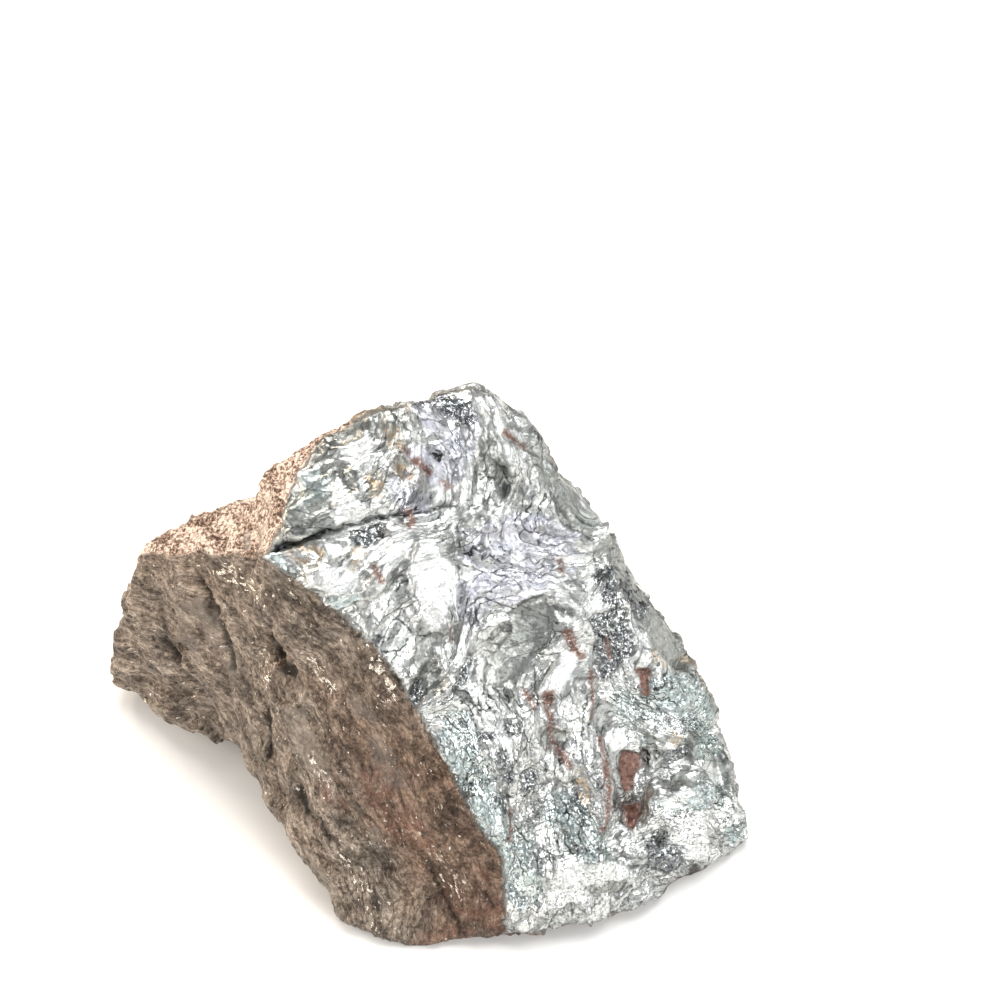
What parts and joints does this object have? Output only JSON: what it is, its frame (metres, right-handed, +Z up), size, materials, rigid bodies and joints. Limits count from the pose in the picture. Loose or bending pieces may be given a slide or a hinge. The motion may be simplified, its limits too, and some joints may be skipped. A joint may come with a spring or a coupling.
{
  "type": "chromium metal chunk",
  "caption": "Broken lump of cast chromium metal with a bright stepped fracture, a dull grained face and a low shoulder, resting on its base.",
  "frame": {"origin": "under the middle of the lump's box, on the surface it rests on", "axes": "+Z up, +X along the lump's longest side, -Y towards the dull face and the bright fracture"},
  "size_m": [0.0622, 0.0444, 0.0382],
  "materials": {
    "chromium": "satin, granular fracture"
  },
  "bodies": {
    "root": {"chromium_chunk": "chromium"}
  },
  "joints": []
}
